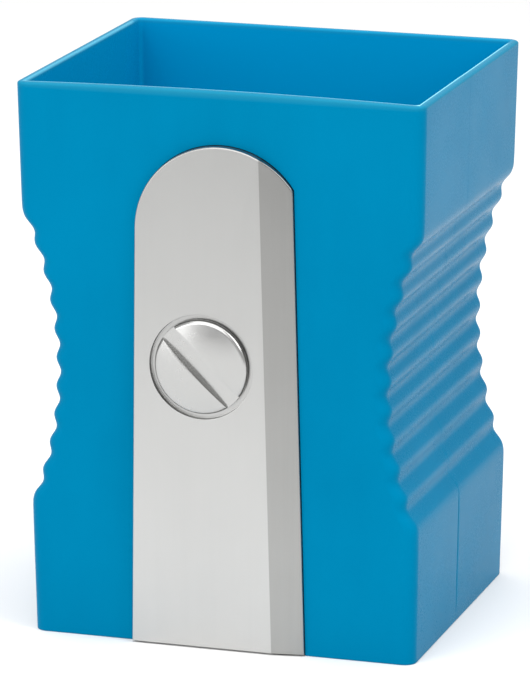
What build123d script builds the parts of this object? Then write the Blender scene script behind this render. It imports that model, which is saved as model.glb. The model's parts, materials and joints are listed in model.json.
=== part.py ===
from build123d import *
import math
import os

# Desk pencil pot shaped like a hand sharpener that stands on its end.
# Millimetres. +Z is up and the blade faces -Y. The origin is on the surface that the pot stands
# on, midway between the screw head and the back wall.

# Body, measured over the flat side panels
HEIGHT = 100.0
HALF_WIDTH_BASE = 35.0
HALF_WIDTH_TOP = 36.8
HALF_DEPTH_BASE = 29.75
HALF_DEPTH_TOP = 32.0
CORNER_RADIUS = 2.2
INNER_RADIUS = 0.8
WALL = 1.6
RIM_ROUND = 0.5
RIM_CROWN = 0.55  # the front wall's rim stands this much higher at its middle than at its ends
FORWARD_REACH = 1.68  # how much further the screw head reaches to -Y than the back wall to +Y

# Waist: a shallow arc cut into each side, with finger ribs along it
WAIST_CENTRE = 50.3
WAIST_RADIUS = 65.5
WAIST_DEPTH = 5.8
RIB_PITCH = 5.07
RIB_HEIGHT = 0.39  # half of crest to valley
RIB_CRESTS = 9
BORDER_SOFTNESS = 0.3
POINTS_PER_RIB = 12
ARC_LIMIT = 0.95  # share of the waist's radius that the arc formula is used over

# Seam between the two shells, just forward of mid-depth, with a tongue on the rear shell
SEAM_Y = -2.3
SEAM_GAP = 0.1
TONGUE_LENGTH = 1.5
TONGUE_CLEARANCE = 0.05

# Foot band inside the base, with a groove that holds the base plate
FOOT_HEIGHT = 6.5
FOOT_THICKNESS = 1.6
FOOT_RADIUS = 1.2
PLATE_BOTTOM = 2.0
PLATE_THICKNESS = 2.0
PLATE_BITE = 1.1
PLATE_CLEARANCE = 0.05

# Blade plate, drawn on the front face: u is across, v is up the face, w is outwards
BLADE_AXIS = -0.4
BLADE_FOOT = 0.3
BLADE_HALF_WIDTH = 15.7  # at the foot
BLADE_TAPER = 0.0194  # lost on each side per millimetre up the face
ARCH_RADIUS = 15.4
ARCH_HEIGHT = 75.2  # height of the arch's centre
BLADE_PROUD = 1.5
BLADE_SEAT = 0.7
BLADE_GAP = 0.1
BLADE_EDGE = 0.3  # rounding of the upper edges
BLADE_CORNER = 0.5  # rounding of the corner where the arch meets the right side
BEVEL_WIDTH = 5.7
BEVEL_DROP = 0.9

# Slotted screw that holds the blade, and the push nut behind the wall
SCREW_U = -2.8
SCREW_V = 51.4
HEAD_RADIUS = 8.45
HEAD_EDGE = 0.35  # height of the head's side wall above the blade
HEAD_CROWN = 1.25  # height of the middle of the head above the blade
HEAD_ROUND = 0.8
SEAT_RADIUS = 9.35
SEAT_DEPTH = 0.9
SLOT_WIDTH = 3.0
SLOT_FLOOR = -0.15  # above the blade, so the slot is cut a little deeper than the head stands
SLOT_ANGLE = -45.0
SHANK_RADIUS = 2.5
SHANK_CHAMFER = 0.3
SHANK_CLEARANCE = 0.05
BODY_CLEARANCE = 0.3
NUT_RADIUS = 6.0
NUT_THICKNESS = 0.6
NUT_TEETH = 6
NUT_GROOVE = 0.4
NUT_SLIT = 0.8
NUT_PLAY = 0.05
SHANK_TAIL = 0.8

OVERRUN = 5.0  # how far a cutting shape runs past what it cuts

RIB_SPAN = RIB_PITCH * (RIB_CRESTS + 1) / 2
FRONT_SLOPE = (HALF_DEPTH_TOP - HALF_DEPTH_BASE) / HEIGHT
SEAT_FLOOR = BLADE_PROUD - SEAT_DEPTH


def panel_half_width(z):
    """Half width of the drafted body, without the waist."""
    return HALF_WIDTH_BASE + (HALF_WIDTH_TOP - HALF_WIDTH_BASE) * z / HEIGHT


def half_depth(z):
    """Half depth of the drafted body."""
    return HALF_DEPTH_BASE + (HALF_DEPTH_TOP - HALF_DEPTH_BASE) * z / HEIGHT


def side_half_width(z, ribs=1.0):
    """Half width with the waist and its ribs, rounded where they meet the flat panels."""
    panel = panel_half_width(z)
    rise = min(abs(z - WAIST_CENTRE), WAIST_RADIUS * ARC_LIMIT)
    arc = WAIST_RADIUS - math.sqrt(WAIST_RADIUS**2 - rise**2)
    turn = 2 * math.pi * min(rise, RIB_SPAN) / RIB_PITCH
    wave = RIB_HEIGHT * (ribs * math.cos(turn) + ribs - 1)
    difference = arc - WAIST_DEPTH + wave
    return panel + (difference - math.hypot(difference, BORDER_SOFTNESS)) / 2


def corner_path(inset, ribs, low, high):
    """Path of the body's front right corner, moved inwards by inset."""

    def point(z, half_width):
        return Vector(half_width - inset, inset - half_depth(z), z)

    step = RIB_PITCH / POINTS_PER_RIB
    count = round((RIB_SPAN + RIB_PITCH) / step)
    heights = [WAIST_CENTRE + step * index for index in range(-count, count + 1)]
    waist = [point(z, side_half_width(z, ribs)) for z in heights]
    start = point(low, panel_half_width(low))
    end = point(high, panel_half_width(high))
    draft = end - start
    return Wire([Line(start, waist[0]), Spline(waist, tangents=[draft, draft]), Line(waist[-1], end)])


def front_form(inset=0.0, ribs=1.0, low=0.0, high=HEIGHT):
    """Solid inside the body's outline, moved inwards by inset, from the front to past mid-depth."""
    radius = max(CORNER_RADIUS - inset, INNER_RADIUS)
    path = corner_path(inset, ribs, low, high)
    corner = path @ 0
    left = corner.X - HALF_WIDTH_TOP - OVERRUN
    back = 2 * OVERRUN
    outline = Face(
        Wire(
            [
                Line((corner.X, corner.Y + radius, low), (corner.X, back, low)),
                Line((corner.X, back, low), (left, back, low)),
                Line((left, back, low), (left, corner.Y, low)),
                Line((left, corner.Y, low), (corner.X - radius, corner.Y, low)),
                RadiusArc((corner.X - radius, corner.Y, low), (corner.X, corner.Y + radius, low), -radius),
            ]
        )
    )
    swept = Solid.sweep(outline, path, mode=Vector(0, 0, 1))
    quarter = swept & Pos(0, OVERRUN, 0) * Box(
        2 * HEIGHT, 4 * HEIGHT, 4 * HEIGHT, align=(Align.MIN, Align.MAX, Align.CENTER)
    )
    return quarter + mirror(quarter, about=Plane.YZ)


def slab(y_low, y_high):
    """Everything between two depths."""
    box = Box(4 * HEIGHT, y_high - y_low, 4 * HEIGHT)
    return Pos(0, (y_low + y_high) / 2, 0) * box


def below(top):
    """Everything below a height."""
    return Pos(0, 0, top) * Box(
        4 * HEIGHT, 4 * HEIGHT, 4 * HEIGHT, align=(Align.CENTER, Align.CENTER, Align.MAX)
    )


def base_outline(z, inset):
    """Rounded rectangle a given distance inside the panels, for the foot band and the plate."""
    width = 2 * (panel_half_width(z) - inset)
    depth = 2 * (half_depth(z) - inset)
    return RectangleRounded(width, depth, FOOT_RADIUS)


def base_prism(inset, low, high):
    """Straight block inside the foot, between two heights."""
    return Pos(0, 0, low) * extrude(base_outline(low, inset), high - low)


def face_plane(out=0.0):
    """Plane of the front face, moved outwards: u along X, v up the face."""
    normal = Vector(0, -1, -FRONT_SLOPE).normalized()
    origin = Vector(0, -HALF_DEPTH_BASE, 0) + normal * out
    return Plane(origin=origin, x_dir=(1, 0, 0), z_dir=normal)


def blade_outline(grow=0.0, foot=BLADE_FOOT):
    """Blade outline: two tapering sides and an arch that the right side cuts off."""
    half = BLADE_HALF_WIDTH + grow
    lean = math.atan(BLADE_TAPER)
    radius = ARCH_RADIUS + grow
    centre_u = BLADE_AXIS - half + BLADE_TAPER * ARCH_HEIGHT + radius / math.cos(lean)
    tangent = Vector(centre_u - radius * math.cos(lean), ARCH_HEIGHT + radius * math.sin(lean))
    # Where the arch meets the right side: solved along the circle by bisection
    low, high = 0.0, math.pi / 2
    for _ in range(60):
        middle = (low + high) / 2
        v = ARCH_HEIGHT + radius * math.sin(middle)
        side = BLADE_AXIS + half - BLADE_TAPER * v
        if centre_u + radius * math.cos(middle) > side:
            low = middle
        else:
            high = middle
    corner = Vector(centre_u + radius * math.cos(low), ARCH_HEIGHT + radius * math.sin(low))
    crown = Vector(centre_u, ARCH_HEIGHT + radius)
    foot_left = Vector(BLADE_AXIS - half + BLADE_TAPER * foot, foot)
    foot_right = Vector(BLADE_AXIS + half - BLADE_TAPER * foot, foot)
    return Face(
        Wire(
            [
                Line(foot_right, corner),
                ThreePointArc(corner, crown, tangent),
                Line(tangent, foot_left),
                Line(foot_left, foot_right),
            ]
        )
    )


def on_face(shape, out=0.0):
    """Put a shape drawn in u, v, w on the front face."""
    return face_plane(out) * shape


def make_half_walls():
    """Walls from the front to past mid-depth, with the foot band and its groove."""
    inside = front_form(WALL, ribs=0.0, low=-OVERRUN, high=HEIGHT + OVERRUN)
    walls = front_form() - inside
    band = front_form(WALL / 2, ribs=0.0) & below(FOOT_HEIGHT)
    band -= base_prism(WALL + FOOT_THICKNESS, -OVERRUN, FOOT_HEIGHT + OVERRUN)
    groove = base_prism(
        WALL + FOOT_THICKNESS - PLATE_BITE - PLATE_CLEARANCE,
        PLATE_BOTTOM - PLATE_CLEARANCE,
        PLATE_BOTTOM + PLATE_THICKNESS + PLATE_CLEARANCE,
    )
    return walls + band - groove


def round_rim(shell):
    """Round the edges of a shell's rim, apart from the step at the seam."""
    rim = shell.faces().sort_by(Axis.Z)[-1]
    step = TONGUE_LENGTH + SEAM_GAP
    edges = [
        edge
        for edge in rim.edges()
        if abs(edge.center().Y - SEAM_Y) > step and edge.length > step
    ]
    return fillet(edges, RIM_ROUND)


def make_front_shell(walls):
    """Front half: rebate for the tongue, seat for the blade, hole for the screw."""
    shell = walls & slab(-2 * HEIGHT, SEAM_Y - SEAM_GAP / 2)
    crown_radius = (HALF_WIDTH_TOP**2 + RIM_CROWN**2) / (2 * RIM_CROWN)
    crown = Rot(90, 0, 0) * Cylinder(crown_radius, 4 * HEIGHT)
    shell &= Pos(0, 0, HEIGHT - crown_radius) * crown
    shell = round_rim(shell)
    rebate = front_form(WALL / 2 - TONGUE_CLEARANCE, ribs=0.0, low=-OVERRUN, high=HEIGHT + OVERRUN)
    rebate &= slab(SEAM_Y - TONGUE_LENGTH - SEAM_GAP, HEIGHT)
    rebate -= below(FOOT_HEIGHT - TONGUE_CLEARANCE)
    shell -= rebate
    shell -= on_face(extrude(blade_outline(BLADE_GAP, foot=-OVERRUN), OVERRUN), -BLADE_SEAT)
    hole = Cylinder(SHANK_RADIUS + SHANK_CLEARANCE, 2 * OVERRUN)
    return shell - on_face(Pos(SCREW_U, SCREW_V, 0) * hole)


def make_rear_shell(walls):
    """Rear half, with the tongue that laps inside the front half."""
    flat = below(HEIGHT - RIM_CROWN)
    shell = mirror(walls, about=Plane.XZ) & slab(SEAM_Y + SEAM_GAP / 2, 2 * HEIGHT) & flat
    shell = round_rim(shell)
    tongue = front_form(WALL / 2, ribs=0.0) - front_form(WALL, ribs=0.0, low=-OVERRUN, high=HEIGHT + OVERRUN)
    tongue = tongue & slab(SEAM_Y - TONGUE_LENGTH, SEAM_Y + SEAM_GAP) & flat
    return shell + (tongue - below(FOOT_HEIGHT))


def make_base_plate():
    """Floor, held in the groove of both shells."""
    return base_prism(
        WALL + FOOT_THICKNESS - PLATE_BITE, PLATE_BOTTOM, PLATE_BOTTOM + PLATE_THICKNESS
    )


def make_blade():
    """Silver plate with a long bevel, a seat for the screw head and a hole for the shank."""
    outline = blade_outline()
    outline = fillet(outline.vertices().sort_by(Axis.Y)[-1], BLADE_CORNER)
    top = BLADE_SEAT + BLADE_PROUD
    plate = extrude(outline, top)
    ridge = BLADE_AXIS + BLADE_HALF_WIDTH - BEVEL_WIDTH
    lean = math.degrees(math.atan(BLADE_TAPER))
    tilt = math.degrees(math.atan(BEVEL_DROP / BEVEL_WIDTH))
    wedge = Box(2 * HEIGHT, 4 * HEIGHT, HEIGHT, align=(Align.MIN, Align.CENTER, Align.MIN))
    plate -= Pos(ridge, 0, top) * Rot(0, 0, lean) * Rot(0, tilt, 0) * wedge
    upper = plate.edges().filter_by_position(Axis.Z, top - 1.1 * BEVEL_DROP, top)
    plate = fillet(upper, BLADE_EDGE)
    middle = Pos(SCREW_U, SCREW_V, 0)
    plate -= middle * Cylinder(SHANK_RADIUS + SHANK_CLEARANCE, 4 * top)
    seat = Cylinder(SEAT_RADIUS, 2 * top, align=(Align.CENTER, Align.CENTER, Align.MIN))
    plate -= middle * Pos(0, 0, top - SEAT_DEPTH) * seat
    return on_face(plate, -BLADE_SEAT)


def screw_depths():
    """Where the inner wall face and the nut lie, measured along the screw from the front face."""
    wall_back = -WALL * math.hypot(1, FRONT_SLOPE)
    nut_front = wall_back - BODY_CLEARANCE
    return nut_front, nut_front - NUT_THICKNESS


def make_screw():
    """Domed slotted head on a plain shank with a groove for the push nut."""
    nut_front, nut_back = screw_depths()
    under = SEAT_FLOOR + BODY_CLEARANCE
    edge = BLADE_PROUD + HEAD_EDGE
    crown = BLADE_PROUD + HEAD_CROWN
    end = nut_back - SHANK_TAIL
    rise = crown - edge
    dome_radius = (HEAD_RADIUS**2 + rise**2) / (2 * rise)
    halfway = HEAD_RADIUS / 2
    halfway_height = crown - dome_radius + math.sqrt(dome_radius**2 - halfway**2)
    groove = SHANK_RADIUS - NUT_GROOVE
    half = Face(
        Wire(
            [
                Line((0, end), (SHANK_RADIUS - SHANK_CHAMFER, end)),
                Line((SHANK_RADIUS - SHANK_CHAMFER, end), (SHANK_RADIUS, end + SHANK_CHAMFER)),
                Line((SHANK_RADIUS, end + SHANK_CHAMFER), (SHANK_RADIUS, nut_back)),
                Line((SHANK_RADIUS, nut_back), (groove, nut_back)),
                Line((groove, nut_back), (groove, nut_front)),
                Line((groove, nut_front), (SHANK_RADIUS, nut_front)),
                Line((SHANK_RADIUS, nut_front), (SHANK_RADIUS, under)),
                Line((SHANK_RADIUS, under), (HEAD_RADIUS, under)),
                Line((HEAD_RADIUS, under), (HEAD_RADIUS, edge)),
                ThreePointArc((HEAD_RADIUS, edge), (halfway, halfway_height), (0, crown)),
                Line((0, crown), (0, end)),
            ]
        )
    )
    screw = revolve(Plane.XZ * half, Axis.Z)
    rim = screw.edges().filter_by(GeomType.CIRCLE).filter_by(
        lambda edge_curve: abs(edge_curve.radius - HEAD_RADIUS) < 0.01
    )
    screw = fillet(rim.sort_by(Axis.Z)[-1], HEAD_ROUND)
    slot = Box(4 * HEAD_RADIUS, SLOT_WIDTH, OVERRUN, align=(Align.CENTER, Align.CENTER, Align.MIN))
    screw -= Pos(0, 0, BLADE_PROUD + SLOT_FLOOR) * Rot(0, 0, SLOT_ANGLE) * slot
    return on_face(Pos(SCREW_U, SCREW_V, 0) * screw)


def make_push_nut():
    """Sprung washer with teeth that grip the shank's groove behind the wall."""
    nut_front, nut_back = screw_depths()
    disc = Cylinder(NUT_RADIUS, NUT_THICKNESS - 2 * NUT_PLAY)
    disc -= Cylinder(SHANK_RADIUS - NUT_GROOVE + NUT_PLAY, OVERRUN)
    reach = (SHANK_RADIUS + NUT_RADIUS) / 2
    slit = Pos(reach / 2, 0, 0) * Box(reach, NUT_SLIT, OVERRUN)
    for index in range(NUT_TEETH):
        disc -= Rot(0, 0, 360 / NUT_TEETH * index) * slit
    return on_face(Pos(SCREW_U, SCREW_V, (nut_front + nut_back) / 2) * disc)


def main():
    os.makedirs("parts", exist_ok=True)
    walls = make_half_walls()
    parts = {
        "front_shell": make_front_shell(walls),
        "rear_shell": make_rear_shell(walls),
        "base_plate": make_base_plate(),
        "blade": make_blade(),
        "blade_screw": make_screw(),
        "push_nut": make_push_nut(),
    }
    for name, shape in parts.items():
        export_step(Pos(0, FORWARD_REACH / 2, 0) * shape, f"parts/{name}.step")


main()
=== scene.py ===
import json
import math

import bmesh
import bpy
from mathutils import Matrix, Vector


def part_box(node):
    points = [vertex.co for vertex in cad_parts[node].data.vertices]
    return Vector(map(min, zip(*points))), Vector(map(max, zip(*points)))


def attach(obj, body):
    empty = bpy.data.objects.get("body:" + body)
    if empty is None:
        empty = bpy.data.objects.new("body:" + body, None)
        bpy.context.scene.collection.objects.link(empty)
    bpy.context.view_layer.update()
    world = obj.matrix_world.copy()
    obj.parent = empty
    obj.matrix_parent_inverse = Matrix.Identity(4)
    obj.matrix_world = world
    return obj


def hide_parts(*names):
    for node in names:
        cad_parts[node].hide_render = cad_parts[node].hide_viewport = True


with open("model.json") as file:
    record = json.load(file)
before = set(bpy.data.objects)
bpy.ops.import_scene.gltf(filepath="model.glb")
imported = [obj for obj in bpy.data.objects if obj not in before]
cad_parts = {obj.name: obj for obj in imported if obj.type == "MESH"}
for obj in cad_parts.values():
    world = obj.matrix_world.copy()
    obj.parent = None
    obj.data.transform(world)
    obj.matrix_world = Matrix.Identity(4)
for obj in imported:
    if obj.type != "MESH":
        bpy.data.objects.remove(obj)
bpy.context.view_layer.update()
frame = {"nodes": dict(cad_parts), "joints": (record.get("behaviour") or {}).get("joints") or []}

# Desk pencil pot shaped like a hand sharpener that stands on its end.
# Lengths are in millimetres until a mesh is made, and the shapes repeat the CAD's own formulas.
MM = 0.001

# Body
HEIGHT = 100.0
HALF_WIDTH_BASE = 35.0
HALF_WIDTH_TOP = 36.8
HALF_DEPTH_BASE = 29.75
HALF_DEPTH_TOP = 32.0
CORNER_RADIUS = 2.2
INNER_RADIUS = 0.8
WALL = 1.6
RIM_ROUND = 0.5  # height of the rim's rounding
RIM_ROLL = 0.7  # how far that rounding reaches in from the outside
RIM_INNER = 0.35  # and from the inside
RIM_CROWN = 0.55
FOOT_ROUND = 0.25
STRETCH_FROM = 85.0  # mesh rows above this height spread out to follow the rim's crown

# Waist and ribs
WAIST_CENTRE = 50.3
WAIST_RADIUS = 65.5
WAIST_DEPTH = 5.8
RIB_PITCH = 5.07
RIB_HEIGHT = 0.39
RIB_CRESTS = 9
BORDER_SOFTNESS = 0.3
ARC_LIMIT = 0.95  # share of the waist's radius that the arc formula is used over
RIB_ROWS = 16  # mesh rows in one rib
RIB_SPAN = RIB_PITCH * (RIB_CRESTS + 1) / 2

# Seam between the two shells: open on the lower panel, nearly closed elsewhere
SEAM_Y = -2.3
SEAM_GAP = 0.1
SEAM_CLOSED = 0.01  # least width of the seam
SEAM_PROFILE = ((0.0, 0.18), (0.10, 0.09), (0.28, 0.03), (0.55, 0.0))  # (along, in) from the seam
SEAM_FADES = ((0.0, 0.1), (6.0, 1.0), (21.0, 1.0), (27.0, 0.1))  # (height, share of full size)
TONGUE_LENGTH = 1.5
TONGUE_CLEARANCE = 0.05
FRONT_MARGIN = 0.5  # from the tongue's end to where the front half's plain section starts
REAR_MARGIN = 0.8  # from the seam to where the rear half's plain section starts

# Foot band and the groove for the base plate
FOOT_HEIGHT = 6.5
FOOT_THICKNESS = 1.6
FOOT_RADIUS = 1.2
GROOVE_LOW = 1.95
GROOVE_HIGH = 4.05
GROOVE_DEPTH = 1.15

# Blade, drawn on the front face: u across, v up the face, w outwards
BLADE_AXIS = -0.4
BLADE_FOOT = 0.3
BLADE_HALF_WIDTH = 15.7
BLADE_TAPER = 0.0194
ARCH_RADIUS = 15.4
ARCH_HEIGHT = 75.2
BLADE_PROUD = 1.5
BLADE_SEAT = 0.7
BLADE_GAP = 0.1
BLADE_EDGE = 0.3
BLADE_CORNER = 0.5
BEVEL_WIDTH = 5.7
BEVEL_DROP = 0.9

# Screw head and shank
HEAD_RADIUS = 8.45
HEAD_EDGE = 0.35
HEAD_CROWN = 1.25
HEAD_ROUND = 0.8
SEAT_RADIUS = 9.35
SEAT_DEPTH = 0.9
SLOT_WIDTH = 3.0
SLOT_FLOOR = -0.15
SLOT_ANGLE = -45.0
SHANK_RADIUS = 2.5
SHANK_CLEARANCE = 0.05
BODY_CLEARANCE = 0.3
NUT_THICKNESS = 0.6
NUT_GROOVE = 0.4
SHANK_TAIL = 0.8
SHANK_CHAMFER = 0.3

# Finish of the small edges
SEAT_FILLET = 0.12
FILLET_MIDDLE = 0.3  # share of a rounding's radius from the corner's sides to its middle
SEAT_FLARE = 1.4  # the seat's cutter flares by this many fillets above the blade
SLOT_ROUND = 0.1
SLOT_ROUND_MIDDLE = 0.29  # the same share on the slot's upper edge
UNDERCUT = 0.1  # chamfer below the screw head
HOLLOW_REACH = 3  # a cutter runs past what it cuts by this many thicknesses
POCKET_FOOT = -5.0  # the blade's pocket runs out through the foot, down to here

# Mesh fineness
SIDE_COLUMNS = 8
CORNER_COLUMNS = 10
FLAT_COLUMNS = 40
FOOT_STEPS = 3
LOWER_STEPS = 5
UPPER_STEPS = 8
RIM_STEPS = 6
LEDGE = 0.04  # height that the mesh takes to turn a square inner corner
ARCH_POINTS = 60
CORNER_POINTS = 6
EDGE_STEPS = 6
HOLE_COLUMNS = 64
SEAT_COLUMNS = 128
DOME_COLUMNS = 72
SLOT_COLUMNS = 8
SLOT_STEPS = 8
SHOULDER_STEPS = 3
SHOULDER_PARTS = (0.03, 0.1, 0.22, 0.4, 0.65, 1.0)  # where a column crosses the head's rounding
HALVINGS = 50  # steps of each search by halving
SMALL_CREASE = 30  # edges sharper than this many degrees stay sharp on the blade
CREASE = 35  # and on the other pieces

# Colours, linear
BLUE_DEEP = (0.0, 0.148, 0.288)
BLUE_LIGHT = (0.0, 0.168, 0.322)
BLUE_FLOW = (0.0, 0.176, 0.332)
# painted highlight: the top of the rim is painted lighter
BLUE_RIM_PAINTED_HIGHLIGHT = (0.02, 0.22, 0.33)
BLUE_INSIDE_PAINTED_LIGHT = (0.0, 0.245, 0.50)  # painted light: the inside of the walls above the waist is painted lighter, standing in for light that reaches in and through the thin walls
BLUE_EDGE_PAINTED_HIGHLIGHT = (0.28, 0.75, 0.85)  # painted highlight: thin bright line on the rim's inner edge
BLUE_SHEEN = (0.0, 0.62, 1.0)  # tint of the plastic's facing reflection
FLOOR_LOW = (0.80, 0.80, 0.80)
FLOOR_HIGH = (0.83, 0.83, 0.83)
# painted reflection: the blade's bevel is painted darker than its flat, for the darker reflection
# of its tilted face
PAINTED_BEVEL_DARK = (0.35, 0.35, 0.34)
PAINTED_BEVEL_LIGHT = (0.39, 0.39, 0.38)
BLADE_PAINTED_FALL = 0.60  # painted reflection: the blade's colour at its highest level, as a share of its colour at the foot

# Metals: dark, light, lowest and highest roughness, grain direction, depth of grain
BLADE_METAL = ((0.53, 0.53, 0.52), (0.56, 0.56, 0.55), 0.30, 0.38, (1, 1, 0.02), 0.03)
SCREW_METAL = ((0.43, 0.43, 0.425), (0.47, 0.47, 0.46), 0.22, 0.27, (1, 1, 1), 0.02)
SPRING_METAL = ((0.32, 0.32, 0.32), (0.46, 0.46, 0.45), 0.28, 0.42, (1, 1, 1), 0.15)

# Studio, in metres and watts: name, place, aim, size, power
SOFTBOXES = (
    ("top_softbox", (0.0, 0.1, 0.9), (0.0, 0.0, 0.05), (1.0, 1.0), 6.0),
    ("front_softbox", (-0.1, -0.75, 0.75), (0.0, 0.0, 0.07), (0.9, 0.9), 6.5),
    ("left_softbox", (-0.6, -0.75, 0.22), (0.0, 0.0, 0.05), (0.6, 0.5), 2.0),
    ("right_softbox", (0.75, -0.2, 0.65), (0.0, 0.0, 0.07), (0.6, 0.6), 3.8),
)
WORLD_LIGHT = 0.62
FLOOR_SIZE = 3000.0

# Camera, in degrees and millimetres
CAMERA_YAW = 17.55
CAMERA_PITCH = 14.35
CAMERA_DISTANCE = 919.25
CAMERA_TARGET = (-1.15, 0.0, 47.76)
CAMERA_LENS = 268.75
CAMERA_SENSOR = 36.0
CAMERA_NEAR = 10.0

RIDGE = BLADE_AXIS + BLADE_HALF_WIDTH - BEVEL_WIDTH  # the bevel's ridge, at the foot
FRONT_SLOPE = (HALF_DEPTH_TOP - HALF_DEPTH_BASE) / HEIGHT
FACE_UP = Vector((0, -FRONT_SLOPE, 1)).normalized()
FACE_OUT = Vector((0, -1, -FRONT_SLOPE)).normalized()


def panel_half_width(z):
    return HALF_WIDTH_BASE + (HALF_WIDTH_TOP - HALF_WIDTH_BASE) * z / HEIGHT


def half_depth(z):
    return HALF_DEPTH_BASE + (HALF_DEPTH_TOP - HALF_DEPTH_BASE) * z / HEIGHT


def side_half_width(z, ribs):
    """Half width with the waist, with its ribs (1.0) or without them (0.0)."""
    panel = panel_half_width(z)
    rise = min(abs(z - WAIST_CENTRE), WAIST_RADIUS * ARC_LIMIT)
    arc = WAIST_RADIUS - math.sqrt(WAIST_RADIUS**2 - rise**2)
    turn = 2 * math.pi * min(rise, RIB_SPAN) / RIB_PITCH
    wave = RIB_HEIGHT * (ribs * math.cos(turn) + ribs - 1)
    difference = arc - WAIST_DEPTH + wave
    return panel + (difference - math.hypot(difference, BORDER_SOFTNESS)) / 2


# The body's own frame is centred on its depth. The CAD's is centred on the whole object's.
REAR_TOP = HEIGHT - RIM_CROWN - RIM_ROUND
DEPTH_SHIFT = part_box("rear_shell")[1].y / MM - half_depth(REAR_TOP)


def on_face(u, v, w):
    """A point given on the front face, in the body's own frame."""
    return Vector((u, -HALF_DEPTH_BASE, 0)) + FACE_UP * v + FACE_OUT * w


def face_uv(point):
    """u and v of a point of the body's own frame on the front face."""
    offset = Vector(point) - Vector((0, -HALF_DEPTH_BASE, 0))
    return offset.x, offset.dot(FACE_UP)


# The screw's place comes from the joint it turns on
JOINT = next(joint for joint in frame["joints"] if joint["name"] == "screw_turn")
SCREW_POINT = Vector(JOINT["pos_m"]) / MM - Vector((0, DEPTH_SHIFT, 0))
SCREW_U, SCREW_V = face_uv(SCREW_POINT)


class Skin:
    """Points and faces of one closed form, in millimetres in the body's own frame."""

    def __init__(self):
        self.points = []
        self.faces = []

    def row(self, points):
        start = len(self.points)
        self.points += [Vector(point) for point in points]
        return list(range(start, len(self.points)))

    def bands(self, rings):
        """Quads between closed rings of the same length."""
        for low, high in zip(rings, rings[1:]):
            for index in range(len(low)):
                after = (index + 1) % len(low)
                self.faces.append((low[index], low[after], high[after], high[index]))

    def mesh(self, name):
        made = bpy.data.meshes.new(name)
        made.from_pydata(self.points, [], self.faces)
        shape = bmesh.new()
        shape.from_mesh(made)
        bmesh.ops.recalc_face_normals(shape, faces=shape.faces)
        shape.to_mesh(made)
        shape.free()
        return made


def solid(name, skin, cutters=()):
    """Object made from a closed skin, less any cutters, still in millimetres."""
    piece = bpy.data.objects.new(name, skin.mesh(name))
    bpy.context.scene.collection.objects.link(piece)
    helpers = []
    for index, cutter in enumerate(cutters):
        helper = bpy.data.objects.new(f"{name}_cut_{index}", cutter.mesh(f"{name}_cut_{index}"))
        bpy.context.scene.collection.objects.link(helper)
        helpers.append(helper)
        difference = piece.modifiers.new(helper.name, "BOOLEAN")
        difference.operation = "DIFFERENCE"
        difference.solver = "EXACT"
        difference.object = helper
    if helpers:
        evaluated = piece.evaluated_get(bpy.context.evaluated_depsgraph_get())
        cut_mesh = bpy.data.meshes.new_from_object(evaluated)
        piece.modifiers.clear()
        piece.data = cut_mesh
        cut_mesh.name = name
        for helper in helpers:
            bpy.data.objects.remove(helper)
    return piece


def finish_piece(piece, body, nodes, material, crease_degrees):
    shift = Matrix.Translation((0, DEPTH_SHIFT * MM, 0))
    piece.data.transform(shift @ Matrix.Scale(MM, 4))
    piece.data.polygons.foreach_set("use_smooth", [True] * len(piece.data.polygons))
    piece.data.set_sharp_from_angle(angle=math.radians(crease_degrees))
    weighted = piece.modifiers.new("flat_faces", "WEIGHTED_NORMAL")
    weighted.keep_sharp = True
    weighted.weight = 100
    piece.data.materials.clear()
    piece.data.materials.append(material)
    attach(piece, body)
    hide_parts(*nodes)


# ---------------------------------------------------------------- body shells


def steps(low, high, count):
    return [low + (high - low) * index / count for index in range(count + 1)]


def shell_rows():
    """(height, outer inset, inner inset) of every mesh row, from the foot to the rim."""
    band = WALL + FOOT_THICKNESS
    rows = []
    for angle in steps(0, math.pi / 2, FOOT_STEPS)[:-1]:
        rows.append((FOOT_ROUND * (1 - math.cos(angle)), FOOT_ROUND * (1 - math.sin(angle)), band))
    rows.append((FOOT_ROUND, 0, band))
    rows += [(GROOVE_LOW - LEDGE, 0, band), (GROOVE_LOW, 0, band - GROOVE_DEPTH)]
    rows += [(GROOVE_HIGH, 0, band - GROOVE_DEPTH), (GROOVE_HIGH + LEDGE, 0, band)]
    rows += [(FOOT_HEIGHT - LEDGE, 0, band)]
    start = WAIST_CENTRE - RIB_SPAN - RIB_PITCH
    end = WAIST_CENTRE + RIB_SPAN + RIB_PITCH
    ribbed = round((end - start) / RIB_PITCH * RIB_ROWS)
    heights = steps(FOOT_HEIGHT, start, LOWER_STEPS)[:-1] + steps(start, end, ribbed)
    heights += steps(end, REAR_TOP, UPPER_STEPS)[1:]
    rows += [(z, 0, WALL) for z in heights]
    for angle in steps(0, math.pi / 2, RIM_STEPS)[1:]:
        turned = 1 - math.cos(angle)
        inner = WALL - RIM_INNER * turned
        rows.append((REAR_TOP + RIM_ROUND * math.sin(angle), RIM_ROLL * turned, inner))
    return rows


def front_rim(x):
    radius = (HALF_WIDTH_TOP**2 + RIM_CROWN**2) / (2 * RIM_CROWN)
    return HEIGHT - radius + math.sqrt(radius**2 - x**2)


def rear_rim(x):
    return HEIGHT - RIM_CROWN


def corner_radius(inset):
    if inset > WALL:
        return FOOT_RADIUS
    return CORNER_RADIUS - (CORNER_RADIUS - INNER_RADIUS) * inset / WALL


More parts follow.
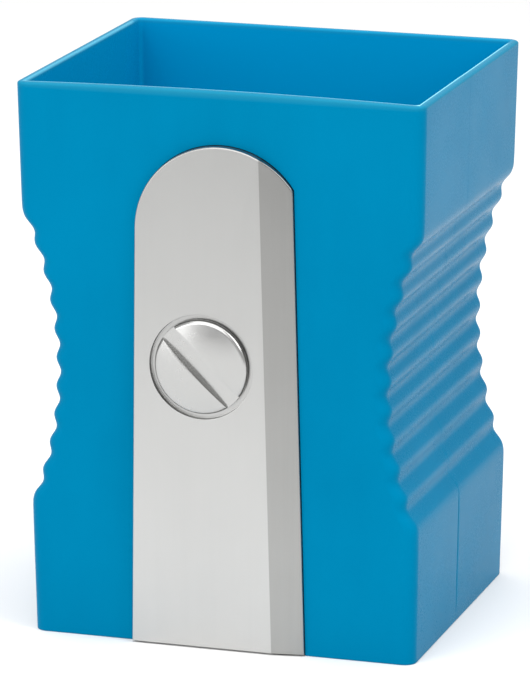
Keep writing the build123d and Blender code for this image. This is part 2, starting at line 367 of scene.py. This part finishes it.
def half_section(z, inset, ribs, core_y, side, rim):
    """Half of a horizontal section, from the left side round to the right side.

    side is -1 for the front half and 1 for the rear half.
    """
    radius = corner_radius(inset)

    def outline(level):
        width = side_half_width(level, ribs) - inset
        depth = half_depth(level) - inset
        points = [
            (width, core_y + part * (side * (depth - radius) - core_y))
            for part in steps(0, 1, SIDE_COLUMNS)[:-1]
        ]
        for angle in steps(0, math.pi / 2, CORNER_COLUMNS):
            x = width - radius * (1 - math.cos(angle))
            points.append((x, side * (depth - radius * (1 - math.sin(angle)))))
        flat = [
            (part * (width - radius), side * depth) for part in steps(-1, 1, FLAT_COLUMNS)[1:-1]
        ]
        return [(-x, y) for x, y in points] + flat + points[::-1]

    points = [Vector((x, y, z)) for x, y in outline(z)]
    if z > STRETCH_FROM:
        share = (z - STRETCH_FROM) / (REAR_TOP + RIM_ROUND - STRETCH_FROM)
        for index, point in enumerate(points):
            level = z + share * (rim(point.x) - (HEIGHT - RIM_CROWN))
            x, y = outline(level)[index]
            points[index] = Vector((x, y, level))
    return points


def seam_edge(z):
    """How open the seam is and how much its edges are broken: only the lower panel shows it."""
    for (low, start), (high, end) in zip(SEAM_FADES, SEAM_FADES[1:]):
        if low <= z < high:
            return start + (end - start) * (z - low) / (high - low)
    return SEAM_FADES[-1][1]


def shell_skin(side):
    """Closed skin of one shell, before any cuts."""
    front = side < 0
    rim = front_rim if front else rear_rim
    core_y = SEAM_Y + (-TONGUE_LENGTH - FRONT_MARGIN if front else REAR_MARGIN)
    tongue_y = SEAM_Y - TONGUE_LENGTH - (SEAM_CLOSED if front else 0)
    lap = WALL / 2 - TONGUE_CLEARANCE if front else WALL / 2
    skin = Skin()
    rings = []
    for z, outer_inset, inner_inset in shell_rows():
        size = seam_edge(z)
        gap_y = SEAM_Y + side * (SEAM_CLOSED + (SEAM_GAP - SEAM_CLOSED) * size) / 2
        broken = [
            (gap_y + side * reach * size, max(depth * size, outer_inset))
            for reach, depth in SEAM_PROFILE
        ]

        def end(y, inset, sign, ribs=1.0):
            return Vector((sign * (side_half_width(z, ribs) - inset), y, z))

        outer = half_section(z, outer_inset, 1.0, core_y, side, rim)
        inner = half_section(z, inner_inset, 0.0, core_y, side, rim)
        parts = [
            [end(y, inset, -1) for y, inset in broken],
            outer,
            [end(y, inset, 1) for y, inset in reversed(broken)],
            [end(gap_y, lap, 1, 0.0), end(tongue_y, lap, 1, 0.0)],
            [end(tongue_y, inner_inset, 1, 0.0)],
            inner[::-1],
            [end(tongue_y, inner_inset, -1, 0.0)],
            [end(tongue_y, lap, -1, 0.0), end(gap_y, lap, -1, 0.0)],
        ]
        rings.append([skin.row(part) for part in parts])
    skin.bands([sum(parts, []) for parts in rings])
    for parts in (rings[0], rings[-1]):
        left_edge, outer, right_edge, right_lap, right_end, inner, left_end, left_lap = parts
        inner = inner[::-1]
        for index in range(len(outer) - 1):
            skin.faces.append(
                (outer[index], outer[index + 1], inner[index + 1], inner[index])
            )
        skin.faces.append(tuple(left_edge + [outer[0], inner[0]] + left_end + left_lap))
        skin.faces.append(
            tuple([inner[-1], outer[-1]] + right_edge + right_lap + right_end)
        )
    return skin


def prism(outline, low, high):
    """Closed skin with flat ends, drawn in u and v on the front face, between two w."""
    skin = Skin()
    rings = [skin.row(on_face(u, v, w) for u, v in outline) for w in (low, high)]
    skin.bands(rings)
    skin.faces += [tuple(rings[0]), tuple(rings[1])]
    return skin


def lathe(profile, count):
    """Closed skin turned round the screw's axis. The profile is (radius, w) from end to end."""
    skin = Skin()
    rings = []
    for radius, w in profile:
        ring = []
        for index in range(count):
            angle = 2 * math.pi * index / count
            ring.append(
                on_face(SCREW_U + radius * math.cos(angle), SCREW_V + radius * math.sin(angle), w)
            )
        rings.append(skin.row(ring))
    skin.bands(rings)
    skin.faces += [tuple(rings[0]), tuple(rings[-1])]
    return skin


def blade_outline(grow, foot, corner):
    """Blade outline as (u, v) points: two tapering sides and an arch cut off by the right one."""
    half = BLADE_HALF_WIDTH + grow
    radius = ARCH_RADIUS + grow
    lean = math.atan(BLADE_TAPER)
    centre = BLADE_AXIS - half + BLADE_TAPER * ARCH_HEIGHT + radius / math.cos(lean)

    def right(v):
        return BLADE_AXIS + half - BLADE_TAPER * v

    low, high = 0.0, math.pi / 2
    for _ in range(HALVINGS):
        middle = (low + high) / 2
        if centre + radius * math.cos(middle) > right(ARCH_HEIGHT + radius * math.sin(middle)):
            low = middle
        else:
            high = middle
    tip = low
    points = [(BLADE_AXIS - half + BLADE_TAPER * foot, foot)]
    # The arch stops short of a rounded corner
    arch = steps(math.pi - lean, tip + corner / radius, ARCH_POINTS)
    points += [
        (centre + radius * math.cos(a), ARCH_HEIGHT + radius * math.sin(a)) for a in arch
    ]
    if corner:
        start = Vector(points[-1])
        sharp = Vector((centre + radius * math.cos(tip), ARCH_HEIGHT + radius * math.sin(tip)))
        end = Vector((right(sharp.y - corner), sharp.y - corner))
        for part in steps(0, 1, CORNER_POINTS)[1:]:
            bend = start * (1 - part) ** 2 + sharp * 2 * part * (1 - part) + end * part**2
            points.append((bend.x, bend.y))
    points.append((right(foot), foot))
    return points


def ridge_u(v):
    """Where the bevel's ridge is at a height on the blade."""
    return RIDGE - BLADE_TAPER * v


def ridge_drop(u, v):
    """How far the bevel has dropped below the blade's flat top at a point."""
    return max(0.0, u - ridge_u(v)) * BEVEL_DROP / BEVEL_WIDTH


def blade_skin():
    """Blade plate with rounded edges and its long bevel, before the screw's seat is cut."""
    outline = blade_outline(0.0, BLADE_FOOT, BLADE_CORNER)
    # Put a point where the ridge of the bevel leaves over the arch, and one at its foot
    crossing = min(
        (k for k in range(1, len(outline) - 1) if outline[k][1] > ARCH_HEIGHT),
        key=lambda k: abs(outline[k][0] - BLADE_EDGE / 2 - ridge_u(outline[k][1])),
    )
    centre_u = BLADE_AXIS - BLADE_HALF_WIDTH + BLADE_TAPER * ARCH_HEIGHT + ARCH_RADIUS
    low, high = outline[crossing - 1], outline[crossing + 1]
    for _ in range(HALVINGS):
        middle = ((low[0] + high[0]) / 2, (low[1] + high[1]) / 2)
        radial = Vector((middle[0] - centre_u, middle[1] - ARCH_HEIGHT)).normalized()
        middle = (centre_u + radial.x * ARCH_RADIUS, ARCH_HEIGHT + radial.y * ARCH_RADIUS)
        inside = (
            centre_u + radial.x * (ARCH_RADIUS - BLADE_EDGE),
            ARCH_HEIGHT + radial.y * (ARCH_RADIUS - BLADE_EDGE),
        )
        if ridge_drop(*inside) > 0:
            high = middle
        else:
            low = middle
    outline[crossing] = middle
    outline.append((ridge_u(BLADE_FOOT), BLADE_FOOT))
    count = len(outline)
    normals = []
    for k in range(count):
        before = Vector(outline[k - 1])
        here = Vector(outline[k])
        after = Vector(outline[(k + 1) % count])
        first = (here - before).normalized()
        second = (after - here).normalized()
        # The outline runs clockwise, so outwards is to its left
        first = Vector((-first.y, first.x))
        second = Vector((-second.y, second.x))
        both = (first + second).normalized()
        normals.append(both / both.dot(first))
    skin = Skin()
    rings = [skin.row(on_face(u, v, -BLADE_SEAT) for u, v in outline)]
    for angle in steps(0, math.pi / 2, EDGE_STEPS):
        ring = []
        for (u, v), out in zip(outline, normals):
            inset = BLADE_EDGE * (1 - math.cos(angle))
            u2, v2 = u - out.x * inset, v - out.y * inset
            w = BLADE_PROUD - ridge_drop(u2, v2) - BLADE_EDGE * (1 - math.sin(angle))
            ring.append(on_face(u2, v2, w))
        rings.append(skin.row(ring))
    skin.bands(rings)
    top = rings[-1]
    skin.faces += [tuple(rings[0]), tuple([top[-1]] + top[: crossing + 1]), tuple(top[crossing:])]
    return skin


def seat_profile():
    """Cutter for the screw head's seat and the hole below it, as (radius, w)."""
    floor = BLADE_PROUD - SEAT_DEPTH
    hole = SHANK_RADIUS + SHANK_CLEARANCE
    middle = FILLET_MIDDLE * SEAT_FILLET
    flare = SEAT_FLARE * SEAT_FILLET
    return [
        (hole, -HOLLOW_REACH * BLADE_SEAT),
        (hole, floor),
        (SEAT_RADIUS - SEAT_FILLET, floor),
        (SEAT_RADIUS - middle, floor + middle),
        (SEAT_RADIUS, floor + SEAT_FILLET),
        (SEAT_RADIUS, BLADE_PROUD - SEAT_FILLET),
        (SEAT_RADIUS + middle, BLADE_PROUD - middle),
        (SEAT_RADIUS + flare, BLADE_PROUD + middle),
        (SEAT_RADIUS + flare, HOLLOW_REACH * BLADE_PROUD),
    ]


def head_height(radius):
    """Height of the screw's domed head above the front face, with its rounded edge."""
    rise = HEAD_CROWN - HEAD_EDGE
    dome = (HEAD_RADIUS**2 + rise**2) / (2 * rise)

    def domed(r):
        return BLADE_PROUD + HEAD_CROWN - dome + math.sqrt(dome**2 - r**2)

    start = HEAD_RADIUS - HEAD_ROUND
    if radius <= start:
        return domed(radius)
    foot = BLADE_PROUD + HEAD_EDGE - HEAD_ROUND
    return foot + (domed(start) - foot) * math.sqrt(
        max(0.0, 1 - ((radius - start) / HEAD_ROUND) ** 2)
    )


def screw_skin():
    """Slotted screw: domed head with rounded slot edges, plain shank and the nut's groove."""
    skin = Skin()
    floor = BLADE_PROUD + SLOT_FLOOR
    half = SLOT_WIDTH / 2
    # Radius at which the head's rounded edge comes down to the slot's floor
    low, high = HEAD_RADIUS - HEAD_ROUND, HEAD_RADIUS
    for _ in range(HALVINGS):
        middle = (low + high) / 2
        low, high = (middle, high) if head_height(middle) > floor else (low, middle)
    reach = low
    slot = math.radians(SLOT_ANGLE)

    def place(p, q, w):
        u = SCREW_U + p * math.cos(slot) - q * math.sin(slot)
        v = SCREW_V + p * math.sin(slot) + q * math.cos(slot)
        return on_face(u, v, w)

    corner = math.asin(half / reach)
    arcs = [
        steps(corner, math.pi - corner, DOME_COLUMNS)[:-1],
        steps(math.pi - corner, math.pi + corner, SLOT_COLUMNS)[:-1],
        steps(math.pi + corner, 2 * math.pi - corner, DOME_COLUMNS)[:-1],
        steps(-corner, corner, SLOT_COLUMNS)[:-1],
    ]
    angles = sum(arcs, [])

    def ring(radius, w):
        return skin.row(place(radius * math.cos(a), radius * math.sin(a), w) for a in angles)

    edge = ring(reach, floor)
    under = BLADE_PROUD - SEAT_DEPTH + BODY_CLEARANCE
    nut_front = -WALL * math.hypot(1, FRONT_SLOPE) - BODY_CLEARANCE
    nut_back = nut_front - NUT_THICKNESS
    end = nut_back - SHANK_TAIL
    grooved = SHANK_RADIUS - NUT_GROOVE
    foot = BLADE_PROUD + HEAD_EDGE - HEAD_ROUND
    shoulder = [
        (reach + (HEAD_RADIUS - reach) * math.sin(a), floor + (foot - floor) * (1 - math.cos(a)))
        for a in steps(0, math.pi / 2, SHOULDER_STEPS)[1:-1]
    ]
    profile = shoulder + [
        (HEAD_RADIUS, foot),
        (HEAD_RADIUS, under + UNDERCUT),
        (HEAD_RADIUS - UNDERCUT, under),
        (SHANK_RADIUS, under),
        (SHANK_RADIUS, nut_front),
        (grooved, nut_front),
        (grooved, nut_back),
        (SHANK_RADIUS, nut_back),
        (SHANK_RADIUS, end + SHANK_CHAMFER),
        (SHANK_RADIUS - SHANK_CHAMFER, end),
    ]
    rings = [edge] + [ring(radius, w) for radius, w in profile]
    skin.bands(rings)
    skin.faces.append(tuple(rings[-1]))

    # Each half of the dome is made of columns that run from the rim to the slot and down its wall
    floors = []
    first = 0
    for sign in (1, -1):
        arc = [edge[(first + k) % len(edge)] for k in range(DOME_COLUMNS + 1)]
        columns = []
        for k in range(1, DOME_COLUMNS):
            angle = angles[(first + k) % len(angles)]
            p = reach * math.cos(angle)
            # Close to the slot's ends the rounded edge and the slot share less room
            widest = reach - math.hypot(p, half)
            share = min(1.0, 0.8 * widest / HEAD_ROUND)
            column = []
            for part in SHOULDER_PARTS:
                rho = reach - part * share * HEAD_ROUND
                column.append((math.sqrt(rho**2 - p**2), head_height(rho)))
            start = column[-1][0]
            crest = head_height(math.hypot(p, half))
            edge_round = min(SLOT_ROUND, 0.3 * (start - half), 0.4 * (crest - floor))
            for part in steps(0, 1, SLOT_STEPS)[1:]:
                q = start + (half + edge_round - start) * part
                column.append((q, head_height(math.hypot(p, q))))
            top = column[-1][1]
            corner_cut = SLOT_ROUND_MIDDLE * edge_round
            column.append((half + corner_cut, top - corner_cut))
            column.append((half, top - edge_round))
            column.append((half, floor))
            columns.append(skin.row(place(p, sign * q, w) for q, w in column))
        columns = [[arc[k + 1]] + column for k, column in enumerate(columns)]
        for left, right in zip(columns, columns[1:]):
            for k in range(len(left) - 1):
                skin.faces.append((left[k], left[k + 1], right[k + 1], right[k]))
        for tip, column in ((arc[0], columns[0]), (arc[-1], columns[-1])):
            for k in range(len(column) - 1):
                skin.faces.append((tip, column[k], column[k + 1]))
        floors.append([column[-1] for column in columns])
        first += DOME_COLUMNS + SLOT_COLUMNS
    left_end = edge[DOME_COLUMNS : DOME_COLUMNS + SLOT_COLUMNS + 1]
    right_start = 2 * DOME_COLUMNS + SLOT_COLUMNS
    right_end = [edge[(right_start + k) % len(edge)] for k in range(SLOT_COLUMNS + 1)]
    skin.faces.append(tuple(right_end + floors[0] + left_end + floors[1]))
    return skin


# ---------------------------------------------------------------- materials


def new_material(name):
    material = bpy.data.materials.new(name)
    material.use_nodes = True
    tree = material.node_tree
    shader = tree.nodes["Principled BSDF"]
    return material, tree, shader


def coordinates(tree, stretch=(1, 1, 1)):
    """Object coordinates in metres, stretched for brushed or streaky patterns."""
    source = tree.nodes.new("ShaderNodeTexCoord")
    mapping = tree.nodes.new("ShaderNodeMapping")
    mapping.inputs["Scale"].default_value = stretch
    tree.links.new(source.outputs["Object"], mapping.inputs["Vector"])
    return mapping.outputs["Vector"]


def noise(tree, vector, scale, detail, rough=0.5):
    node = tree.nodes.new("ShaderNodeTexNoise")
    node.inputs["Scale"].default_value = scale
    node.inputs["Detail"].default_value = detail
    node.inputs["Roughness"].default_value = rough
    tree.links.new(vector, node.inputs["Vector"])
    return node.outputs["Fac"]


def spread(tree, value, low, high, from_low=0.3, from_high=0.7):
    """Map a value to a range. Noise mostly lies between 0.3 and 0.7."""
    node = tree.nodes.new("ShaderNodeMapRange")
    node.inputs["From Min"].default_value = from_low
    node.inputs["From Max"].default_value = from_high
    node.inputs["To Min"].default_value = low
    node.inputs["To Max"].default_value = high
    tree.links.new(value, node.inputs["Value"])
    return node.outputs["Result"]


def mixed(tree, factor, first, second):
    """Colour between two colours or colour outputs."""
    node = tree.nodes.new("ShaderNodeMix")
    node.data_type = "RGBA"
    tree.links.new(factor, node.inputs["Factor"])
    for socket, value in ((node.inputs["A"], first), (node.inputs["B"], second)):
        if isinstance(value, tuple):
            socket.default_value = value + (1.0,)
        else:
            tree.links.new(value, socket)
    return node.outputs["Result"]


def arithmetic(tree, operation, first, second):
    node = tree.nodes.new("ShaderNodeMath")
    node.operation = operation
    for socket, value in zip(node.inputs, (first, second)):
        if isinstance(value, (int, float)):
            socket.default_value = value
        else:
            tree.links.new(value, socket)
    return node.outputs["Value"]


def bumps(tree, shader, layers):
    """Chain of bump layers, each (height output, distance in metres, strength)."""
    normal = None
    for height, distance, strength in layers:
        node = tree.nodes.new("ShaderNodeBump")
        node.inputs["Distance"].default_value = distance
        node.inputs["Strength"].default_value = strength
        tree.links.new(height, node.inputs["Height"])
        if normal:
            tree.links.new(normal, node.inputs["Normal"])
        normal = node.outputs["Normal"]
    tree.links.new(normal, shader.inputs["Normal"])


def position(tree):
    """X, Y and Z of a point on the piece, in metres."""
    source = tree.nodes.new("ShaderNodeTexCoord")
    split = tree.nodes.new("ShaderNodeSeparateXYZ")
    tree.links.new(source.outputs["Object"], split.inputs["Vector"])
    return split.outputs["X"], split.outputs["Y"], split.outputs["Z"]


def painted_light_masks(tree):
    """Two masks above the waist: a painted highlight along the rim's thin inner edge, and painted
    light on the inside of the walls.
    """
    x, y, height = position(tree)
    distances = []
    for place, centre, base, top in (
        (x, 0.0, HALF_WIDTH_BASE, HALF_WIDTH_TOP),
        (y, DEPTH_SHIFT, HALF_DEPTH_BASE, HALF_DEPTH_TOP),
    ):
        away = arithmetic(tree, "SUBTRACT", place, centre * MM)
        away = arithmetic(tree, "ABSOLUTE", away, 0.0)
        draft = arithmetic(tree, "MULTIPLY", height, (top - base) / HEIGHT)
        away = arithmetic(tree, "SUBTRACT", away, draft)
        distances.append(arithmetic(tree, "SUBTRACT", away, (base - WALL) * MM))
    # Distance through the wall from its inner face
    outwards = arithmetic(tree, "MAXIMUM", *distances)
    thin = spread(tree, outwards, 1, 0, 0.3 * MM, 0.6 * MM)
    high = spread(tree, height, 0, 1, (REAR_TOP + 0.05) * MM, (REAR_TOP + 0.35) * MM)
    # painted light on the inside of the walls above the waist
    within = spread(tree, outwards, 1, 0, 0.2 * WALL * MM, 0.6 * WALL * MM)
    above = spread(tree, height, 0, 1, (WAIST_CENTRE + RIB_SPAN) * MM, STRETCH_FROM * MM)
    # The rim's painted highlight line is left out on the back wall and is faint on the left wall
    back = (HALF_DEPTH_TOP - 2 * WALL) * MM
    forward = spread(tree, y, 1, 0, back - WALL * MM, back)
    left = (HALF_WIDTH_TOP - WALL) * MM
    rightward = spread(tree, x, 0.25, 1, -left, MM - left)
    # painted highlight along the rim's inner edge
    edge = arithmetic(tree, "MULTIPLY", arithmetic(tree, "MULTIPLY", thin, high), forward)
    edge = arithmetic(tree, "MULTIPLY", edge, rightward)
    return edge, arithmetic(tree, "MULTIPLY", within, above)


def blue_plastic():
    """Moulded satin-gloss plastic: cloudy colour, fine grain, a painted highlight on the thin rim
    and along its inner edge, and painted light inside the walls.
    """
    material, tree, shader = new_material("blue_plastic_look")
    plain = coordinates(tree)
    cloud = spread(tree, noise(tree, plain, 26, 3), 0, 1)
    body = mixed(tree, cloud, BLUE_DEEP, BLUE_LIGHT)
    flow = spread(tree, noise(tree, coordinates(tree, (1, 1, 0.18)), 190, 4), 0, 0.35)
    body = mixed(tree, flow, body, BLUE_FLOW)
    # painted highlight line on the rim's inner edge, and painted light inside the walls
    edge, inside = painted_light_masks(tree)
    # painted light: the inside of the walls is painted lighter
    body = mixed(tree, inside, body, BLUE_INSIDE_PAINTED_LIGHT)
    # painted highlight: the top of the rim is painted lighter, by height
    rim = spread(tree, position(tree)[2], 0, 0.6, (HEIGHT - 1.5) * MM, (HEIGHT - 0.5) * MM)
    body = mixed(tree, rim, body, BLUE_RIM_PAINTED_HIGHLIGHT)
    # painted highlight: a thin bright line on the rim's inner edge
    body = mixed(tree, edge, body, BLUE_EDGE_PAINTED_HIGHLIGHT)
    tree.links.new(body, shader.inputs["Base Color"])
    gloss = spread(tree, noise(tree, plain, 75, 4), 0.23, 0.31)
    grain = spread(tree, noise(tree, plain, 3200, 2), -0.03, 0.03)
    tree.links.new(arithmetic(tree, "ADD", gloss, grain), shader.inputs["Roughness"])
    shader.inputs["IOR"].default_value = 1.5
    shader.inputs["Specular IOR Level"].default_value = 0.03
    shader.inputs["Specular Tint"].default_value = BLUE_SHEEN + (1.0,)
    bumps(
        tree,
        shader,
        [
            (noise(tree, plain, 55, 2), 0.0004, 0.05),
            (noise(tree, plain, 3600, 3), 0.00003, 0.05),
        ],
    )
    return material


def bevel_mask(tree):
    """0 on the blade's flat side and 1 on its bevel, which is painted darker as a painted
    reflection.
    """
    x, _, height = position(tree)
    across = arithmetic(tree, "ADD", x, arithmetic(tree, "MULTIPLY", height, BLADE_TAPER))
    return spread(tree, across, 0, 1, (RIDGE - 0.05) * MM, (RIDGE + 0.05) * MM)


def silver(name, dark, light, rough_low, rough_high, brush, grain, blade=False):
    """Metal with a fine brushed grain and a slightly uneven finish; on a blade, a painted
    reflection darkens the bevel and the colour falls towards the top.
    """
    material, tree, shader = new_material(name)
    plain = coordinates(tree)
    along = coordinates(tree, brush)
    streaks = noise(tree, along, 900, 5, 0.65)
    cloud = noise(tree, plain, 45, 3)
    tone = arithmetic(tree, "ADD", arithmetic(tree, "MULTIPLY", streaks, 0.6), cloud)
    tone = spread(tree, tone, 0, 1, 0.5, 1.1)
    colour = mixed(tree, tone, dark, light)
    if blade:
        # painted reflection: the bevel is painted darker
        painted_bevel_tone = mixed(tree, tone, PAINTED_BEVEL_DARK, PAINTED_BEVEL_LIGHT)
        colour = mixed(tree, bevel_mask(tree), colour, painted_bevel_tone)
        # painted reflection: the blade's colour falls towards the top
        height = spread(tree, position(tree)[2], 1, BLADE_PAINTED_FALL, 0.0, HEIGHT * MM)
        node = tree.nodes.new("ShaderNodeVectorMath")
        node.operation = "SCALE"
        tree.links.new(colour, node.inputs["Vector"])
        tree.links.new(height, node.inputs["Scale"])
        colour = node.outputs["Vector"]
    tree.links.new(colour, shader.inputs["Base Color"])
    shader.inputs["Metallic"].default_value = 1.0
    rough = spread(tree, streaks, rough_low, rough_high)
    blotch = spread(tree, noise(tree, plain, 110, 4), -0.03, 0.03)
    tree.links.new(arithmetic(tree, "ADD", rough, blotch), shader.inputs["Roughness"])
    bumps(
        tree,
        shader,
        [(streaks, 0.00001, grain), (noise(tree, plain, 5200, 2), 0.00001, grain)],
    )
    return material


def floor_material():
    material, tree, shader = new_material("floor_look")
    plain = coordinates(tree)
    tone = spread(tree, noise(tree, plain, 6, 2), 0, 1)
    tree.links.new(mixed(tree, tone, FLOOR_LOW, FLOOR_HIGH), shader.inputs["Base Color"])
    shader.inputs["Roughness"].default_value = 0.9
    shader.inputs["Specular IOR Level"].default_value = 0.1
    return material


# ---------------------------------------------------------------- pieces

plastic = blue_plastic()
blade_metal = silver("satin_silver_look", *BLADE_METAL, blade=True)
screw_metal = silver("bright_silver_look", *SCREW_METAL)
spring_metal = silver("spring_steel_look", *SPRING_METAL)

pocket = prism(
    blade_outline(BLADE_GAP, POCKET_FOOT, 0.0), -BLADE_SEAT, HOLLOW_REACH * BLADE_PROUD
)
hole_radius = SHANK_RADIUS + SHANK_CLEARANCE
hole = lathe([(hole_radius, -HOLLOW_REACH * WALL), (hole_radius, BLADE_SEAT)], HOLE_COLUMNS)
front = solid("body_front", shell_skin(-1), [pocket, hole])
finish_piece(front, "pot", ["front_shell"], plastic, CREASE)
rear = solid("body_rear", shell_skin(1))
finish_piece(rear, "pot", ["rear_shell"], plastic, CREASE)
plate = solid("blade_plate", blade_skin(), [lathe(seat_profile(), SEAT_COLUMNS)])
finish_piece(plate, "pot", ["blade"], blade_metal, SMALL_CREASE)
screw = solid("slotted_screw", screw_skin())
finish_piece(screw, "screw", ["blade_screw"], screw_metal, CREASE)

for node, material in (("base_plate", plastic), ("push_nut", spring_metal)):
    for slot in frame["nodes"][node].material_slots:
        slot.material = material

# ---------------------------------------------------------------- floor, lights, camera

floor_skin = Skin()
reach = FLOOR_SIZE / 2
floor_corners = [(-reach, -reach, 0), (reach, -reach, 0), (reach, reach, 0), (-reach, reach, 0)]
floor_skin.faces.append(tuple(floor_skin.row(floor_corners)))
floor = bpy.data.objects.new("floor", floor_skin.mesh("floor"))
bpy.context.scene.collection.objects.link(floor)
floor.data.transform(Matrix.Scale(MM, 4))
floor.data.materials.append(floor_material())

world = bpy.data.worlds.new("studio")
world.use_nodes = True
background = world.node_tree.nodes["Background"]
background.inputs["Color"].default_value = (1.0, 1.0, 1.0, 1.0)
background.inputs["Strength"].default_value = WORLD_LIGHT
bpy.context.scene.world = world


def softbox(name, place, aim, size, power):
    light = bpy.data.lights.new(name, "AREA")
    light.shape = "RECTANGLE"
    light.size, light.size_y = size
    light.energy = power
    lamp = bpy.data.objects.new(name, light)
    bpy.context.scene.collection.objects.link(lamp)
    lamp.location = place
    lamp.rotation_euler = (Vector(aim) - Vector(place)).to_track_quat("-Z", "Y").to_euler()


for row in SOFTBOXES:
    softbox(*row)

camera_data = bpy.data.cameras.new("camera")
camera_data.sensor_width = CAMERA_SENSOR
camera_data.lens = CAMERA_LENS
camera_data.clip_start = CAMERA_NEAR * MM
camera = bpy.data.objects.new("camera", camera_data)
bpy.context.scene.collection.objects.link(camera)
yaw, pitch = math.radians(CAMERA_YAW), math.radians(CAMERA_PITCH)
toward = Vector(
    (-math.sin(yaw) * math.cos(pitch), math.cos(yaw) * math.cos(pitch), -math.sin(pitch))
)
camera.location = (Vector(CAMERA_TARGET) - toward * CAMERA_DISTANCE) * MM
camera.rotation_euler = toward.to_track_quat("-Z", "Y").to_euler()
bpy.context.scene.camera = camera
bpy.context.scene.view_settings.view_transform = "Standard"
bpy.context.scene.view_settings.look = "None"
